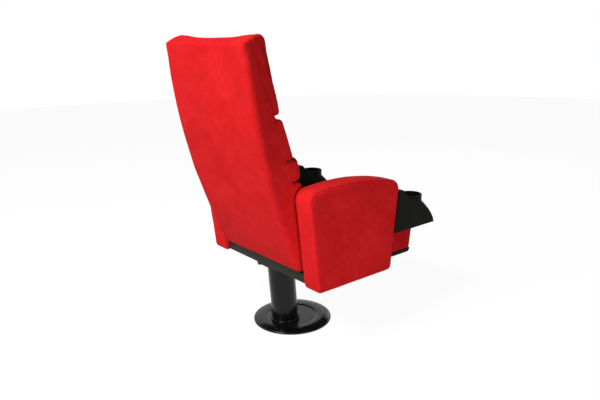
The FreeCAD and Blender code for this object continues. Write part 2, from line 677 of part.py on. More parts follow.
def cam_slot(depth):
    """The hinge plate's open sector, in which the stop buffer stays."""
    half = math.degrees(math.asin((BUFFER_R + STOP_GAP) / STOP_RADIUS))
    start, end = STOP_AT - half, STOP_AT + half + TIP_RANGE
    ring = rod(HINGE_X, HINGE_X + depth, PIVOT_Y, PIVOT_Z, CAM_R + 2)
    ring = ring.cut(rod(HINGE_X, HINGE_X + depth, PIVOT_Y, PIVOT_Z, EYE_R))
    reach = 3 * CAM_R
    corners = [vec(HINGE_X, PIVOT_Y, PIVOT_Z)]
    for a in (start, (start + end) / 2, end):
        t = math.radians(a)
        corners.append(vec(HINGE_X, PIVOT_Y + reach * math.cos(t), PIVOT_Z + reach * math.sin(t)))
    corners.append(corners[0])
    sector = Part.Face(Part.makePolygon(corners)).extrude(vec(depth, 0, 0))
    return ring.common(sector)


def hinge_plate():
    """Steel plate on the seat's side: pivot eye, stop cam and the arm to the rail."""
    disc = rod(HINGE_X, HINGE_OUT, PIVOT_Y, PIVOT_Z, CAM_R)
    front = hinge_bolt_ys()[1] - HINGE_ARM_HALF
    corners = ((front, HINGE_BOLT_Z - HINGE_ARM_HALF), (PIVOT_Y, PIVOT_Z - CAM_R),
               (PIVOT_Y, PIVOT_Z + HINGE_ARM_HALF), (front, HINGE_BOLT_Z + HINGE_ARM_HALF))
    arm = side_prism(HINGE_X, HINGE_OUT, corners, (12.0, 3.0, 3.0, 12.0))
    plate = disc.fuse(arm).cut(cam_slot(HINGE_PLATE_T))
    plate = plate.cut(rod(HINGE_X, HINGE_OUT, PIVOT_Y, PIVOT_Z, BUSH_R))
    for y in hinge_bolt_ys():
        plate = plate.cut(countersunk(vec(HINGE_OUT, y, HINGE_BOLT_Z), vec(-1, 0, 0),
                                      HINGE_PLATE_T, M8[0]))
    return plate.removeSplitter()


def hinge_bolts():
    length = HINGE_OUT - RAIL_X + RAIL_W
    return Part.makeCompound([countersunk(vec(HINGE_OUT, y, HINGE_BOLT_Z), vec(-1, 0, 0),
                                          length, M8[0]) for y in hinge_bolt_ys()])


def pivot_bush():
    """Flanged plastic bush between the seat's housing and the pin."""
    bush = rod(RAIL_X, HINGE_OUT, PIVOT_Y, PIVOT_Z, BUSH_R)
    bush = bush.fuse(rod(HINGE_OUT, HINGE_OUT + BUSH_FLANGE_T, PIVOT_Y, PIVOT_Z, BUSH_FLANGE_R))
    return bush.cut(rod(RAIL_X, HINGE_OUT + BUSH_FLANGE_T, PIVOT_Y, PIVOT_Z, PIN_R + PIN_CLEAR))


# Back

def front_y(z):
    """Front of the back's slab, one straight lean."""
    y, low = BACK_FRONT_LOW
    return y + (z - low) * math.tan(math.radians(BACK_FRONT_LEAN))


BACK_REAR_TOP = (front_y(BACK_TOP_FRONT_Z) + BACK_TOP_DEPTH, BACK_TOP_FRONT_Z - BACK_TOP_DROP)


def rear_circle():
    """Centre and radius of the arc through the back's two rear edges."""
    (y0, z0), (y1, z1) = BACK_REAR_LOW, BACK_REAR_TOP
    chord = math.hypot(y1 - y0, z1 - z0)
    r = chord * chord / (8 * BACK_BOW) + BACK_BOW / 2
    out_y, out_z = (z1 - z0) / chord, -(y1 - y0) / chord
    sink = r - BACK_BOW
    return (y0 + y1) / 2 - out_y * sink, (z0 + z1) / 2 - out_z * sink, r


def rear_y(z, depth=0.0):
    """Where the rear arc, or one that lies deeper, stands at a height."""
    cy, cz, r = rear_circle()
    return cy + math.sqrt((r - depth) ** 2 - (z - cz) ** 2)


def front_outline():
    """What the back may fill, seen from the front: a little wider at the shoulders."""
    low, swell, top = BACK_REAR_LOW[1], BACK_SWELL_Z, BACK_TOP_FRONT_Z
    half, deep = BACK_HALF_W, BACK_REAR_TOP[0] + 10
    a, b, c = vec(half, 0, low), vec(half, 0, swell), vec(half, 0, top)
    bulge = vec(half + BACK_SWELL, 0, (swell + top) / 2)
    d, e, f = [vec(-p.x, p.y, p.z) for p in (c, b, a)]
    back_bulge = vec(-bulge.x, 0, bulge.z)
    wire = Part.Wire([Part.LineSegment(a, b).toShape(), Part.Arc(b, bulge, c).toShape(),
                      Part.LineSegment(c, d).toShape(), Part.Arc(d, back_bulge, e).toShape(),
                      Part.LineSegment(e, f).toShape(), Part.LineSegment(f, a).toShape()])
    return Part.Face(wire).extrude(vec(0, deep, 0))


def middle(edge):
    return edge.valueAt((edge.FirstParameter + edge.LastParameter) / 2)


def arc_bar(x0, x1, depth0, depth1, z0, z1):
    """A bar bent along the back's arc, between two heights."""
    corners = [(rear_y(z, d), z) for d, z in
               ((depth0, z0), (depth0, (z0 + z1) / 2), (depth0, z1),
                (depth1, z1), (depth1, (z0 + z1) / 2), (depth1, z0))]
    a, b, c, d, e, f = [vec(x0, y, z) for y, z in corners]
    wire = Part.Wire([Part.Arc(a, b, c).toShape(), Part.LineSegment(c, d).toShape(),
                      Part.Arc(d, e, f).toShape(), Part.LineSegment(f, a).toShape()])
    return Part.Face(wire).extrude(vec(x1 - x0, 0, 0))


def back_board():
    x = BACK_HALF_W - BOARD_SIDE
    board = arc_bar(-x, x, BOARD_DEPTH, BOARD_DEPTH + BOARD_T,
                    BACK_REAR_LOW[1] + 14, BACK_REAR_TOP[1] - 24)
    corners = [e for e in board.Edges if e.BoundBox.XLength < 0.01 and e.Length < BOARD_T + 3]
    board = board.makeFillet(20, corners)
    for place in upright_screw_places():
        board = board.cut(upright_screw(*place))
    return board


def back_upright(side):
    """Flat bar bent along the board, with a bolted foot on the beam."""
    x = side * UPRIGHT_X
    bar = arc_bar(x - UPRIGHT_W / 2, x + UPRIGHT_W / 2, BOARD_DEPTH + BOARD_T,
                  BOARD_DEPTH + BOARD_T + UPRIGHT_T, BEAM_TOP_Z + FOOT_T, UPRIGHT_TOP_Z)
    foot = box(x - FOOT_W / 2, x + FOOT_W / 2, BEAM_REAR_Y - BEAM_DEPTH + 5, BEAM_REAR_Y - 5,
               BEAM_TOP_Z, BEAM_TOP_Z + FOOT_T)
    foot = foot.makeFillet(8, [e for e in foot.Edges if e.BoundBox.ZLength > FOOT_T - 1])
    upright = bar.fuse(foot)
    for bx, by in foot_bolt_places():
        upright = upright.cut(post(bx, by, BEAM_TOP_Z, BEAM_TOP_Z + FOOT_T, M8[0] + HOLE_CLEAR))
    for place in upright_screw_places():
        upright = upright.cut(upright_screw(*place))
    return upright


def foot_bolt_places():
    reach = FOOT_W / 2 - 11
    return [(side * UPRIGHT_X + step, BEAM_Y) for side in (-1, 1) for step in (-reach, reach)]


def foot_bolts():
    length = FOOT_T + BEAM_WALL + M8[2] + 4
    return Part.makeCompound([bolt(vec(x, y, BEAM_TOP_Z + FOOT_T), vec(0, 0, 1), length, M8)
                              for x, y in foot_bolt_places()])


def upright_screw_places():
    return [(side * UPRIGHT_X, UPRIGHT_TOP_Z - drop)
            for side in (-1, 1) for drop in UPRIGHT_SCREW_DROPS]


def upright_screw(x, z, grow=0.0):
    """A flat-headed screw from the bar's front into the board."""
    cy, cz, r = rear_circle()
    front = vec(x, rear_y(z, BOARD_DEPTH + BOARD_T + UPRIGHT_T), z)
    axis = (front - vec(x, cy, cz)).normalize()
    screw = Part.makeCylinder(SCREW_R + grow, UPRIGHT_T + BOARD_T - 2, front, axis)
    head_h = SCREW_HEAD_H + grow
    head = Part.makeCylinder(SCREW_HEAD_R + grow, head_h, front - axis * head_h, axis)
    return screw.fuse(head)


def upright_screws():
    return Part.makeCompound([upright_screw(x, z) for x, z in upright_screw_places()])


def back_cover():
    """The padded slab: bowed rear face, soft edges, hollow for board and uprights."""
    (y0, z0), (y1, z1) = BACK_REAR_LOW, BACK_REAR_TOP
    bowed = (z0 + z1) / 2
    low = vec(0, BACK_FRONT_LOW[0], BACK_FRONT_LOW[1])
    high = vec(0, front_y(BACK_TOP_FRONT_Z), BACK_TOP_FRONT_Z)
    wire = Part.Wire([Part.Arc(vec(0, y0, z0), vec(0, rear_y(bowed), bowed),
                               vec(0, y1, z1)).toShape(),
                      Part.LineSegment(vec(0, y1, z1), high).toShape(),
                      Part.LineSegment(high, low).toShape(),
                      Part.LineSegment(low, vec(0, y0, z0)).toShape()])
    wide = BACK_HALF_W + BACK_SWELL + 5
    slab = Part.Face(wire).extrude(vec(2 * wide, 0, 0))
    slab.translate(vec(-wide, 0, 0))
    slab = slab.common(front_outline())

    def soft(edge):
        p = middle(edge)
        on_rear = abs(p.y - rear_y(min(p.z, z1))) < 1
        return (on_rear or p.z > z1 + 1) and p.y > front_y(p.z) + 1

    slab = slab.makeFillet(BACK_EDGE_R, [e for e in slab.Edges if soft(e)])
    x = BACK_HALF_W - BOARD_SIDE + SOFT_GAP
    slab = slab.cut(arc_bar(-x, x, BOARD_DEPTH - SOFT_GAP, BOARD_DEPTH + BOARD_T,
                            z0 + 14 - SOFT_GAP, z1 - 24 + SOFT_GAP))
    for side in (-1, 1):
        mid, half = side * UPRIGHT_X, UPRIGHT_W / 2 + SOFT_GAP
        slab = slab.cut(arc_bar(mid - half, mid + half, BOARD_DEPTH + BOARD_T,
                                BOARD_DEPTH + BOARD_T + UPRIGHT_T + SOFT_GAP,
                                BEAM_TOP_Z, UPRIGHT_TOP_Z + SOFT_GAP))
    for sx, sz in upright_screw_places():
        slab = slab.cut(upright_screw(sx, sz, SOFT_GAP))
    return slab


def back_cushion(low, high, thick_low, thick_high, bulge):
    """One crowned pad: flat behind, rounded all round and dished between its bolsters."""
    rear_low, rear_high = front_y(low) - SOFT_GAP, front_y(high) - SOFT_GAP
    front_low, front_high = front_y(low) - thick_low, front_y(high) - thick_high
    mid_z = (low + high) / 2
    crown = ((front_low + front_high) / 2 - 2 * bulge, mid_z)
    corners = ((front_low, low), (rear_low, low), (rear_high, high), (front_high, high), crown)
    bow_r = (high - low) ** 2 / (16 * bulge) * 0.6
    radii = (CUSHION_END_R, 0.0, 0.0, CUSHION_END_R, bow_r)
    wide = BACK_HALF_W + BACK_SWELL + 5
    pad = side_prism(-wide, wide, corners, radii).common(front_outline())

    def soft(edge):
        p = middle(edge)
        return abs(p.x) > BACK_HALF_W - 2 and p.y < front_y(p.z) - 3

    pad = pad.makeFillet(CUSHION_EDGE_R, [e for e in pad.Edges if soft(e)])
    across = BACK_HALF_W - CUSHION_BOLSTER
    dish_r = across ** 2 / (2 * CUSHION_DISH) + CUSHION_DISH / 2
    along = vec(0, front_high - front_low, high - low).normalize()
    ahead = vec(0, -along.z, along.y)
    centre = vec(0, crown[0] + bulge, mid_z) + ahead * (dish_r - CUSHION_DISH)
    tall = high - low
    dish = Part.makeCylinder(dish_r, 2 * tall, centre - along * tall, along)
    return pad.cut(dish)


# Cup holders, left-hand side

CUP_SCREW_Z = (CUP_BOTTOM_Z + 30, CUP_LIP_Z - 20)


def arm_front_y(z):
    """The arm's straight front edge."""
    (y0, z0), (y1, z1) = ARM_CORNERS[0], ARM_CORNERS[-1]
    return y0 + (y1 - y0) * (z - z0) / (z1 - z0)


def cup_screw(z, grow=0.0):
    """A screw from inside the holder, through the arm's padding into its core."""
    start = vec(CUP_X, arm_front_y(z + SCREW_HEAD_R) - CUP_GAP - CUP_WALL, z)
    return Part.makeCylinder(SCREW_R + grow, PAD + CUP_WALL + 25, start, vec(0, 1, 0))


def cup_screws():
    screws = []
    for z in CUP_SCREW_Z:
        shank = cup_screw(z)
        start = vec(CUP_X, shank.BoundBox.YMin, z)
        head = Part.makeCylinder(SCREW_HEAD_R, SCREW_HEAD_H, start, vec(0, -1, 0))
        screws.append(shank.fuse(head))
    return Part.makeCompound(screws)


def cup_ring(z, inset):
    """Plan of the holder's body at a height: flat sides, bowed front."""
    drop = min(max((CUP_LIP_Z - z) / (CUP_LIP_Z - CUP_BOTTOM_Z), 0.0), 1.0)
    front = CUP_Y - CUP_R - CUP_TIP * math.sin(drop * math.pi / 2) + inset
    side = CUP_HALF_W - inset
    bow = CUP_R - math.sqrt(CUP_R ** 2 - CUP_HALF_W ** 2)
    bow += (14.0 - bow) * drop
    rear = arm_front_y(z) - CUP_GAP - inset
    a, b = vec(CUP_X + side, rear, z), vec(CUP_X + side, front + bow, z)
    middle = vec(CUP_X, front, z)
    c, d = vec(CUP_X - side, front + bow, z), vec(CUP_X - side, rear, z)
    return Part.Wire([Part.LineSegment(a, b).toShape(), Part.Arc(b, middle, c).toShape(),
                      Part.LineSegment(c, d).toShape(), Part.LineSegment(d, a).toShape()])


def cup_body(inset, z0, z1):
    """The skirt below the lip, from plans at several heights."""
    steps = 5
    rings = [cup_ring(z0 + (z1 - z0) * i / steps, inset) for i in range(steps + 1)]
    return Part.makeLoft(rings, True, False)


def cup_head(inset):
    """The ring's block above the lip and the hump that runs up to the arm."""
    side = CUP_HALF_W - inset
    low, top = CUP_LIP_Z - inset, CUP_RIM_Z - 4 - inset
    hump = CUP_HUMP_Z - inset
    slope_y = CUP_Y + CUP_R
    points = [(arm_front_y(low) - CUP_GAP - inset, low), (arm_front_y(hump) - CUP_GAP - inset, hump),
              (arm_front_y(hump) - 22, hump), (slope_y, top), (CUP_Y, top), (CUP_Y, low)]
    corners = [vec(CUP_X - side, y, z) for y, z in points]
    return Part.Face(Part.makePolygon(corners + corners[:1])).extrude(vec(2 * side, 0, 0))


def cup_holder():
    """Moulded holder: thin walls, a deep round well and a flared skirt."""
    outer = cup_body(0, CUP_BOTTOM_Z, CUP_LIP_Z).fuse(cup_head(0))
    outer = outer.fuse(post(CUP_X, CUP_Y, CUP_LIP_Z - 1, CUP_RIM_Z, CUP_R))
    inner = cup_body(CUP_WALL, CUP_BOTTOM_Z, CUP_LIP_Z - CUP_WALL).fuse(cup_head(CUP_WALL))
    inner = inner.cut(post(CUP_X, CUP_Y, CUP_FLOOR_Z - CUP_WALL, CUP_RIM_Z, CUP_BORE_R + CUP_WALL))
    holder = outer.cut(inner).cut(post(CUP_X, CUP_Y, CUP_FLOOR_Z, CUP_RIM_Z, CUP_BORE_R))
    for z in CUP_SCREW_Z:
        holder = holder.cut(cup_screw(z))
    return holder.removeSplitter()


def nodes():
    """Every separate piece of the seat, by name."""
    made = {
        "base_plate": base_plate(),
        "base_cover": base_cover(),
        "foot_collar": foot_collar(),
        "column": column(),
        "column_top_plate": top_plate(),
        "beam_bolts": beam_bolts(),
        "beam_nuts": beam_nuts(),
        "cross_beam": cross_beam(),
        "seat_cushion": seat_cushion(),
        "seat_pan": seat_pan(),
        "pan_screws": pan_screws(),
        "seat_frame": seat_frame(),
        "seat_straps": seat_straps(),
        "back_board": back_board(),
        "back_upright_left": back_upright(1),
        "back_upright_right": back_upright(-1),
        "foot_bolts": foot_bolts(),
        "upright_screws": upright_screws(),
        "back_cover": back_cover(),
    }
    for name, *sizes in CUSHIONS:
        made[name] = back_cushion(*sizes)
    for name, make in (("side_standard", side_standard), ("arm_core", arm_core),
                       ("arm_cover", arm_cover), ("end_bolts", end_bolts),
                       ("core_screws", core_screws), ("pivot_pin", pivot_pin),
                       ("stop_pin", stop_pin), ("stop_buffer", stop_buffer),
                       ("hinge_plate", hinge_plate), ("hinge_bolts", hinge_bolts),
                       ("pivot_bush", pivot_bush), ("cup_holder", cup_holder),
                       ("cup_screws", cup_screws)):
        left = make()
        made[name + "_left"] = left
        made[name + "_right"] = mirrored(left)
    return made


for node, shape in nodes().items():
    shape.exportStep("parts/" + node + ".step")
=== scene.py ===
import json
import math

import bmesh
import bpy
from mathutils import Matrix, Vector, noise
from mathutils.kdtree import KDTree


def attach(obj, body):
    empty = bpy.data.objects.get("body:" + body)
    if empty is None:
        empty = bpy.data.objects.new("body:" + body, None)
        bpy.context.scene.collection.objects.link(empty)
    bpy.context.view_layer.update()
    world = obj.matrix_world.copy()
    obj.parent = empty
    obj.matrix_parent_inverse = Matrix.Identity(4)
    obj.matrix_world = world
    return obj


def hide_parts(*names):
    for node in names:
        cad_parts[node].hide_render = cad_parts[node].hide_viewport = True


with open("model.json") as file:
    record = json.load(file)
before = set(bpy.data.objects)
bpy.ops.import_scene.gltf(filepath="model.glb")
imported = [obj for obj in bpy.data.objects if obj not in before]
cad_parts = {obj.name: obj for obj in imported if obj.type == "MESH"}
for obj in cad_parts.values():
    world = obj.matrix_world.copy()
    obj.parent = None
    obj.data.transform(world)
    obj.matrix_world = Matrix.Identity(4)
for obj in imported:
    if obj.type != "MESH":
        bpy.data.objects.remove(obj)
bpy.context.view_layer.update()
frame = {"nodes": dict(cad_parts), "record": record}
nodes = frame["nodes"]
bpy.ops.object.select_all(action="DESELECT")

# Sizes in metres, close to the model's own
ARM_IN = 0.256
ARM_OUT = 0.341
ARM_CORNERS = ((-0.218, 0.254), (0.144, 0.254), (0.183, 0.6205), (-0.031, 0.6465), (-0.2594, 0.5945))
ARM_RADII = (0.0145, 0.0145, 0.040, 0.930, 0.040)
SEAT_HALF = 0.243
SEAT_CORNERS = ((-0.436, 0.246), (0.059, 0.246), (0.059, 0.430), (-0.468, 0.447))
SEAT_RADII = (0.014, 0.099, 0.049, 0.050)
SEAT_SPLIT_Z = 0.263
BACK_HALF = 0.250
BACK_SWELL = 0.011
SWELL_LOW, SWELL_TOP = 0.560, 1.125
BACK_REAR_LOW = (0.155, 0.311)
BACK_REAR_TOP = (0.360, 1.104)
BACK_BOW = 0.037
BACK_FRONT_LOW = (0.076, 0.322)
BACK_FRONT_LEAN = math.radians(17.6)
SLAB_TOP_Z = 1.118
TOP_SAG = 0.009
SUNK = 0.024
DISH = 0.018
DISH_HALF = 0.215
CUP_X, CUP_Y = 0.297, -0.364
SEAM_LOW_Z = 0.585
SEAM_INSET = 0.0105
SEAM_DEPTH, SEAM_WIDTH = 0.0022, 0.0030
GRID = 0.005
SEAT_GRID = 0.0062
PRESSURE = 4.0


# Shader writing

class Wire:
    """A node's output; arithmetic on it adds Math nodes to the same finish."""

    def __init__(self, finish, socket):
        self.finish, self.socket = finish, socket

    def math(self, operation, first, second=0.0):
        return self.finish.node("ShaderNodeMath", {"operation": operation}, {0: first, 1: second})

    def __add__(self, other):
        return self.math("ADD", self, other)

    def __radd__(self, other):
        return self.math("ADD", other, self)

    def __sub__(self, other):
        return self.math("SUBTRACT", self, other)

    def __rsub__(self, other):
        return self.math("SUBTRACT", other, self)

    def __mul__(self, other):
        return self.math("MULTIPLY", self, other)

    def __rmul__(self, other):
        return self.math("MULTIPLY", other, self)


class Finish:
    """One material, written node by node."""

    def __init__(self, name):
        self.material = bpy.data.materials.new(name)
        self.material.use_nodes = True
        self.tree = self.material.node_tree
        self.tree.nodes.clear()
        self.place = self.node("ShaderNodeTexCoord", output="Object")

    def node(self, kind, settings=(), inputs=(), output=0):
        made = self.tree.nodes.new(kind)
        for key, value in dict(settings).items():
            if key == "stops":
                ramp = made.color_ramp
                ramp.elements[0].position, ramp.elements[0].color = value[0]
                ramp.elements[1].position, ramp.elements[1].color = value[-1]
                for position, colour in value[1:-1]:
                    ramp.elements.new(position).color = colour
            else:
                setattr(made, key, value)
        for key, value in dict(inputs).items():
            if isinstance(value, Wire):
                self.tree.links.new(value.socket, made.inputs[key])
            else:
                made.inputs[key].default_value = value
        return Wire(self, made.outputs[output])

    def noise(self, scale, detail=2.0, roughness=0.5, distortion=0.0, place=None):
        return self.node("ShaderNodeTexNoise", {}, {
            "Vector": place or self.place, "Scale": scale, "Detail": detail,
            "Roughness": roughness, "Distortion": distortion})

    def stretched(self, scale):
        return self.node("ShaderNodeMapping", {}, {"Vector": self.place, "Scale": scale})

    def ramp(self, value, low, high):
        """Nought below low, one above high, straight between."""
        return self.node("ShaderNodeMapRange", {"clamp": True},
                         {"Value": value, "From Min": low, "From Max": high})

    def mix(self, share, first, second):
        return self.node("ShaderNodeMix", {"data_type": "RGBA"},
                         {0: share, 6: first, 7: second}, output=2)

    def bump(self, height, distance, strength=1.0, normal=None):
        inputs = {"Height": height, "Distance": distance, "Strength": strength}
        if normal:
            inputs["Normal"] = normal
        return self.node("ShaderNodeBump", {}, inputs)

    def close(self, **sockets):
        """The shader itself; socket names have underscores for spaces."""
        named = {key.replace("_", " "): value for key, value in sockets.items()}
        surface = self.node("ShaderNodeBsdfPrincipled", {}, named)
        end = self.tree.nodes.new("ShaderNodeOutputMaterial")
        self.tree.links.new(surface.socket, end.inputs["Surface"])
        return self.material


def tone(r, g, b):
    return (r, g, b, 1.0)


# Finishes

def red_suede():
    """Short-pile microfibre: brushed patches, faint streaks and a velvety edge."""
    f = Finish("red suede")
    blotch = f.noise(7.0, 3.0, 0.55, 0.4)
    brushed = f.noise(42.0, 3.0, 0.6, 0.8)
    streak = f.noise(1.0, 2.0, 0.5, 0.0, f.stretched((260.0, 260.0, 38.0)))
    fibre = f.noise(1500.0, 2.0, 0.7)
    share = f.ramp(blotch * 0.42 + brushed * 0.36 + streak * 0.12 + fibre * 0.10, 0.36, 0.64)
    colour = f.mix(share, tone(*RED_DARK), tone(*RED_LIGHT))
    pile = f.bump(fibre * 0.7 + streak * 0.3, 0.00035, 0.55)
    normal = f.bump(brushed, 0.0012, 0.25, pile)
    return f.close(Base_Color=colour, Roughness=0.86 + brushed * 0.08, Normal=normal,
                   Specular_IOR_Level=0.06, Sheen_Weight=0.10, Sheen_Roughness=0.45,
                   Sheen_Tint=tone(1.0, 0.16, 0.14))


def gloss_black():
    f = Finish("black powder coat")
    peel = f.noise(420.0, 1.0, 0.4)
    dust = f.ramp(f.noise(26.0, 4.0, 0.65, 0.3), 0.45, 0.8)
    colour = f.mix(dust, tone(0.003, 0.003, 0.003), tone(0.009, 0.008, 0.007))
    return f.close(Base_Color=colour, Roughness=0.13 + dust * 0.16,
                   Normal=f.bump(peel, 0.0002, 0.16), Specular_IOR_Level=0.22)


def beam_paint():
    f = Finish("beam paint")
    grain = f.noise(900.0, 2.0, 0.6)
    cloud = f.ramp(f.noise(18.0, 3.0, 0.6, 0.4), 0.35, 0.75)
    colour = f.mix(cloud, tone(0.011, 0.010, 0.005), tone(0.024, 0.022, 0.012))
    return f.close(Base_Color=colour, Roughness=0.36 + cloud * 0.16,
                   Normal=f.bump(grain, 0.0001, 0.3), Specular_IOR_Level=0.12)


def satin_black():
    f = Finish("satin black paint")
    grain = f.noise(700.0, 2.0, 0.6)
    wear = f.ramp(f.noise(34.0, 4.0, 0.7, 0.2), 0.58, 0.82)
    colour = f.mix(wear, tone(0.016, 0.016, 0.016), tone(0.042, 0.041, 0.039))
    return f.close(Base_Color=colour, Roughness=0.42 + wear * 0.2, Normal=f.bump(grain, 0.0001, 0.3))


def moulded_black(name, light, rough):
    """Fine spark-eroded texture of a moulding, with random patches a little lighter and rougher."""
    f = Finish(name)
    grain = f.noise(1900.0, 2.0, 0.75)
    pits = f.node("ShaderNodeTexVoronoi", {"feature": "F1"}, {"Vector": f.place, "Scale": 1300.0})
    cloud = f.ramp(f.noise(22.0, 3.0, 0.6, 0.5), 0.3, 0.75)
    colour = f.mix(cloud, tone(*[c * 0.7 for c in light]), tone(*light))
    normal = f.bump(grain * 0.6 + pits * 0.4, 0.00018, 0.5)
    return f.close(Base_Color=colour, Roughness=rough + cloud * 0.12, Normal=normal,
                   Specular_IOR_Level=0.06)


def zinc():
    f = Finish("zinc plate")
    spangle = f.node("ShaderNodeTexVoronoi", {"feature": "F1"}, {"Vector": f.place, "Scale": 700.0})
    cloud = f.noise(120.0, 3.0, 0.6)
    colour = f.mix(cloud, tone(0.36, 0.36, 0.38), tone(0.58, 0.57, 0.54))
    return f.close(Base_Color=colour, Metallic=0.9, Roughness=0.34 + spangle * 0.25)


def ground_steel():
    f = Finish("ground steel")
    turned = f.noise(1.0, 2.0, 0.5, 0.0, f.stretched((2600.0, 90.0, 90.0)))
    colour = f.mix(turned, tone(0.50, 0.50, 0.52), tone(0.66, 0.66, 0.66))
    return f.close(Base_Color=colour, Metallic=1.0, Roughness=0.22 + turned * 0.16,
                   Normal=f.bump(turned, 0.00005, 0.4))


def buffer_rubber():
    f = Finish("buffer rubber")
    bloom = f.ramp(f.noise(160.0, 3.0, 0.6), 0.4, 0.8)
    colour = f.mix(bloom, tone(0.012, 0.012, 0.012), tone(0.03, 0.03, 0.03))
    return f.close(Base_Color=colour, Roughness=0.72 + bloom * 0.15,
                   Normal=f.bump(f.noise(1400.0, 2.0, 0.6), 0.0001, 0.4))


def bush_plastic():
    f = Finish("bush plastic")
    cloud = f.noise(90.0, 3.0, 0.5)
    colour = f.mix(cloud, tone(0.62, 0.60, 0.54), tone(0.74, 0.73, 0.68))
    return f.close(Base_Color=colour, Roughness=0.4 + cloud * 0.15)


def webbing():
    """Black elastic, its ribs running across the straps."""
    f = Finish("elastic webbing")
    rib = f.node("ShaderNodeTexWave", {"bands_direction": "Y"},
                 {"Vector": f.place, "Scale": 160.0, "Distortion": 0.6, "Detail": 1.0})
    colour = f.mix(rib, tone(0.014, 0.014, 0.015), tone(0.055, 0.053, 0.05))
    return f.close(Base_Color=colour, Roughness=0.85, Normal=f.bump(rib, 0.0005, 0.6))


def plywood():
    f = Finish("plywood")
    grain = f.noise(1.0, 4.0, 0.6, 1.2, f.stretched((60.0, 60.0, 7.0)))
    plies = f.node("ShaderNodeTexWave", {"bands_direction": "X"},
                   {"Vector": f.place, "Scale": 110.0, "Distortion": 0.4, "Detail": 1.0})
    colour = f.mix(grain * 0.8 + plies * 0.2, tone(0.36, 0.22, 0.11), tone(0.62, 0.44, 0.26))
    return f.close(Base_Color=colour, Roughness=0.7, Normal=f.bump(grain, 0.0004, 0.4))


RED_DARK = (0.56, 0.008, 0.010)
RED_LIGHT = (0.76, 0.017, 0.020)
cloth = red_suede()
black = gloss_black()
olive = beam_paint()
satin = satin_black()
holder_black = moulded_black("cup holder plastic", (0.0045, 0.0045, 0.0035), 0.50)
tray_black = moulded_black("seat tray plastic", (0.008, 0.008, 0.007), 0.55)
plated = zinc()
steel = ground_steel()
rubber = buffer_rubber()
bush = bush_plastic()
elastic = webbing()
wood = plywood()

SLOT_FINISH = {
    "red_cloth": cloth, "black_gloss": black, "black_steel": satin, "beam_paint": olive,
    "bolt_steel": plated, "pin_steel": steel, "buffer_rubber": rubber, "bush_plastic": bush,
    "black_plastic": tray_black, "webbing": elastic, "plywood": wood}


def dress(piece, finish):
    """Every face of the piece takes this finish."""
    if not piece.material_slots:
        piece.data.materials.append(finish)
    for held in piece.material_slots:
        held.material = finish


for part in frame["record"]["subparts"]:
    dress(nodes[part["node"]], SLOT_FINISH[part["material_slot"]])
for side in ("left", "right"):
    dress(nodes["cup_holder_" + side], holder_black)


# Mesh helpers

def corner_arcs(corners, radii, steps):
    """The (y, z) outline with each corner turned into a short run of points."""
    points = []
    count = len(corners)
    for i, r in enumerate(radii):
        p = Vector(corners[i])
        if not r:
            points.append(p)
            continue
        back = (Vector(corners[i - 1]) - p).normalized()
        ahead = (Vector(corners[(i + 1) % count]) - p).normalized()
        half = back.angle(ahead) / 2
        centre = p + (back + ahead).normalized() * (r / math.sin(half))
        start = p + back * (r / math.tan(half)) - centre
        end = p + ahead * (r / math.tan(half)) - centre
        turn = math.atan2(start.x * end.y - start.y * end.x, start.dot(end))
        for k in range(steps + 1):
            a = turn * k / steps
            spoke = Vector((start.x * math.cos(a) - start.y * math.sin(a),
                            start.x * math.sin(a) + start.y * math.cos(a)))
            points.append(centre + spoke)
    return points


def prism(name, outline, x0, x1, edge):
    """A closed block with the outline's shape from x0 to x1, its rims rounded."""
    mesh = bpy.data.meshes.new(name)
    shape = bmesh.new()
    near = [shape.verts.new((x0, p[0], p[1])) for p in outline]
    far = [shape.verts.new((x1, p[0], p[1])) for p in outline]
    shape.faces.new(near)
    shape.faces.new(far)
    for i in range(len(outline)):
        j = (i + 1) % len(outline)
        shape.faces.new((near[i], near[j], far[j], far[i]))
    bmesh.ops.recalc_face_normals(shape, faces=shape.faces)
    rims = [e for e in shape.edges if abs(e.verts[0].co.x - e.verts[1].co.x) < 1e-6]
    bmesh.ops.bevel(shape, geom=rims, offset=edge, segments=4, profile=0.5,
                    affect="EDGES", clamp_overlap=True)
    shape.to_mesh(mesh)
    shape.free()
    return add(name, mesh)


def add(name, mesh):
    piece = bpy.data.objects.new(name, mesh)
    bpy.context.scene.collection.objects.link(piece)
    return piece


def apply_all(piece):
    bpy.ops.object.select_all(action="DESELECT")
    bpy.context.view_layer.objects.active = piece
    piece.select_set(True)
    for modifier in list(piece.modifiers):
        bpy.ops.object.modifier_apply(modifier=modifier.name)
    piece.select_set(False)


def remesh(piece, voxel, smooth):
    grid = piece.modifiers.new("grid", "REMESH")
    grid.mode = "VOXEL"
    grid.voxel_size = voxel
    relax = piece.modifiers.new("relax", "SMOOTH")
    relax.factor = 0.5
    relax.iterations = smooth
    apply_all(piece)


def reshape(piece, move):
    """Each point goes where move(point, normal) says."""
    mesh = piece.data
    mesh.update()
    normals = [v.normal.copy() for v in mesh.vertices]
    for v, n in zip(mesh.vertices, normals):
        v.co = move(v.co.copy(), n)
    mesh.update()


